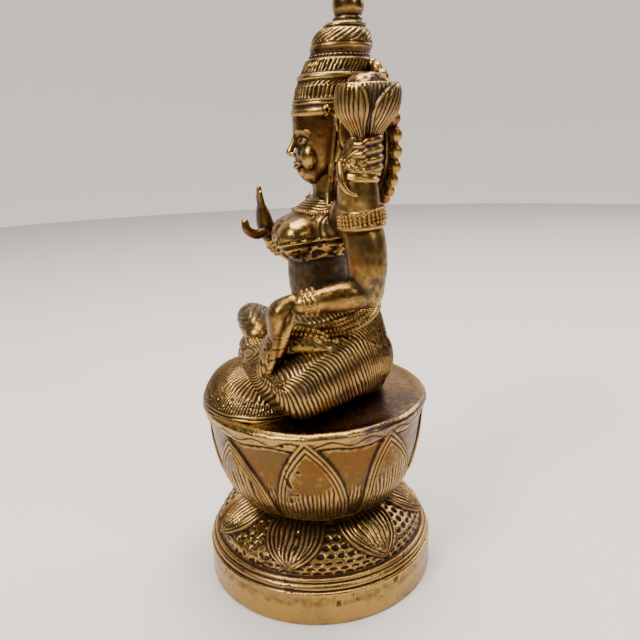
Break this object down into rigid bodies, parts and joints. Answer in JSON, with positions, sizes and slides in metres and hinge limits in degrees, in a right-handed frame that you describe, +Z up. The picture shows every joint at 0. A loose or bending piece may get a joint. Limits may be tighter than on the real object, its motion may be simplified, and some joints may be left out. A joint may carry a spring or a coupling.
{
  "type": "seated goddess statue on lotus base",
  "caption": "Cast brass figure of a seated Hindu goddess with raised lotus buds, made in one piece with its double lotus base; a shelf or altar ornament that stands on its flat underside",
  "frame": {"origin": "centre of the flat round underside, which is the bottom centre of the whole statue", "axes": "+Z is up through the base and the crown, -Y is where the figure looks, +X is the figure's own left"},
  "size_m": [0.084, 0.084, 0.2028],
  "materials": {
    "brass": "aged cast brass: worn gold on the high parts, brown in the recesses, a purple tarnish on the rim"
  },
  "bodies": {
    "root": {"goddess_on_lotus": "brass"}
  },
  "joints": []
}
